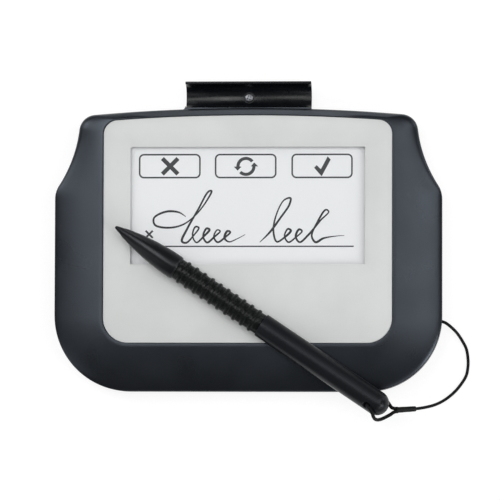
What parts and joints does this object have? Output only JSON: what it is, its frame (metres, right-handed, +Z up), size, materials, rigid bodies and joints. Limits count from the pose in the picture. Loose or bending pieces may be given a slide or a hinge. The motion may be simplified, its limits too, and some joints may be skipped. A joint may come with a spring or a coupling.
{
  "type": "signature pad with tethered pen",
  "caption": "Desktop signature pad: low rounded housing, recessed display in a pale fascia, rear pen rest, and a ribbed pen on a short tether.",
  "frame": {"origin": "on the desk, under the middle of the box round everything but the tether", "axes": "+X to the right of someone signing, +Y to the rear with the pen rest, +Z up"},
  "size_m": [0.1711, 0.1402, 0.0241],
  "materials": {
    "textured_shell": "fine spark-eroded texture, satin sheen",
    "fascia_sheet": "smooth satin sheet",
    "display": "pale reflective display under a clear sheet",
    "light_guide": "milky moulding",
    "gloss_black": "polished",
    "pen_plastic": "satin",
    "pen_grip_rubber": "satin rubber",
    "rubber": "matte",
    "cord_black": "smooth sheathed cord",
    "screw_steel": "plated",
    "sheet_steel": "bright sheet",
    "crimp_brass": "plain",
    "circuit_board": "solder-masked",
    "chip_case": "matte",
    "connector_body": "matte",
    "flat_cable": "film"
  },
  "bodies": {
    "housing": {"front_housing": "textured_shell", "rear_cover": "textured_shell", "fascia": "fascia_sheet", "sensor_gasket": "rubber", "touch_sensor": "display", "lcd_panel": "display", "lcd_backlight": "light_guide", "lcd_tray": "sheet_steel", "lcd_cable": "flat_cable", "sensor_cable": "flat_cable", "main_board": "circuit_board", "controller_chip": "chip_case", "interface_chip": "chip_case", "clock_crystal": "sheet_steel", "lcd_connector": "connector_body", "sensor_connector": "connector_body", "usb_socket": "sheet_steel", "pen_rest": "gloss_black", "pen_rest_screw": "screw_steel", "tether_gland": "rubber", "tether_stop": "crimp_brass", "case_screw_1": "screw_steel", "case_screw_2": "screw_steel", "case_screw_3": "screw_steel", "case_screw_4": "screw_steel", "case_screw_5": "screw_steel", "case_screw_6": "screw_steel", "tray_screw_1": "screw_steel", "tray_screw_2": "screw_steel", "tray_screw_3": "screw_steel", "tray_screw_4": "screw_steel", "board_screw_1": "screw_steel", "board_screw_2": "screw_steel", "board_screw_3": "screw_steel", "board_screw_4": "screw_steel", "rubber_foot_1": "rubber", "rubber_foot_2": "rubber", "rubber_foot_3": "rubber", "rubber_foot_4": "rubber", "tether_cord": "cord_black"},
    "tether_end": {"tether_ferrule": "cord_black"},
    "loop": {"tether_loop": "cord_black"},
    "pen": {"pen_nib": "pen_plastic", "pen_nose": "pen_plastic", "pen_grip": "pen_grip_rubber", "pen_barrel": "pen_plastic"}
  },
  "joints": [
    {"name": "pen_lift", "type": "slide", "parent": "housing", "child": "tether_end", "axis": [0, 0, 1], "range_m": [0, 0.03], "deforming": ["tether_cord"]},
    {"name": "pen_swing", "type": "hinge", "parent": "tether_end", "child": "loop", "pos_m": [0.0612, -0.06671, 0.0146], "axis": [0, 0, 1], "range_deg": [-45, 25], "deforming": ["tether_loop"]},
    {"name": "pen_tilt", "type": "hinge", "parent": "loop", "child": "pen", "pos_m": [0.0512, -0.06232, 0.01895], "axis": [0.3729, 0.5556, -0.7431], "range_deg": [0, 70]}
  ]
}
